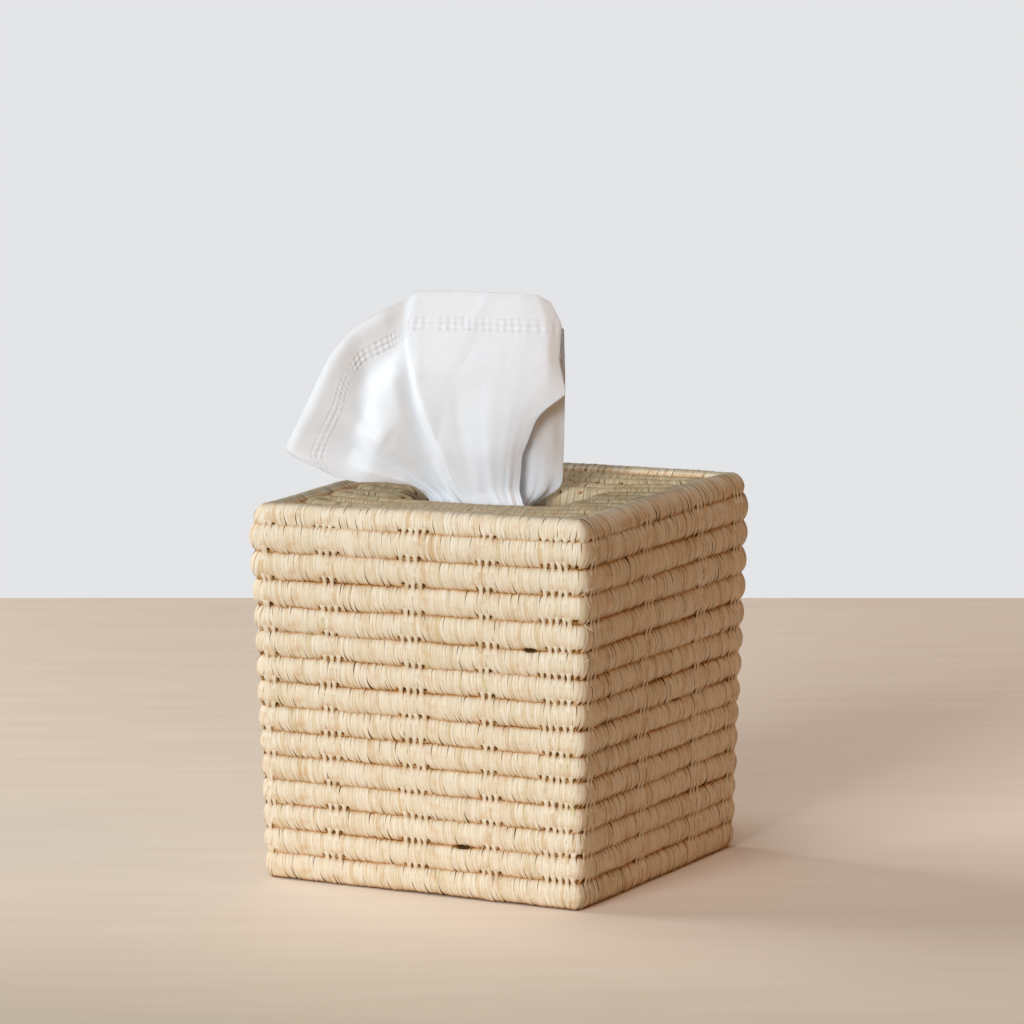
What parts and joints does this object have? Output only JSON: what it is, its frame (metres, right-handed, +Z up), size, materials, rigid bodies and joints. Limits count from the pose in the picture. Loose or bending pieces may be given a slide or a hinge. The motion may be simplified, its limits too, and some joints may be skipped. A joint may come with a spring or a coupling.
{
  "type": "tissue box cover",
  "caption": "Cube tissue box: a coiled straw cover with leaning sides over a paperboard refill carton, a tissue drawn up through the opening in its top.",
  "frame": {"origin": "middle of the base, on the surface that the cover and the carton stand on", "axes": "+Z up; +X along the top's rows and the opening's long side; the front face looks along -Y"},
  "size_m": [0.1476, 0.1476, 0.2297],
  "materials": {
    "straw": "dry matt plant straw, split leaf strands wrapped on a coil",
    "carton_board": "plain uncoated folding board",
    "film": "thin clear film",
    "tissue": "soft white tissue paper with an embossed edge band",
    "tissue_pack": "soft white tissue paper, pressed leaves"
  },
  "bodies": {
    "root": {"woven_cover": "straw", "refill_carton": "carton_board", "slit_film": "film", "folded_tissues": "tissue_pack", "raised_tissue": "tissue"}
  },
  "joints": []
}
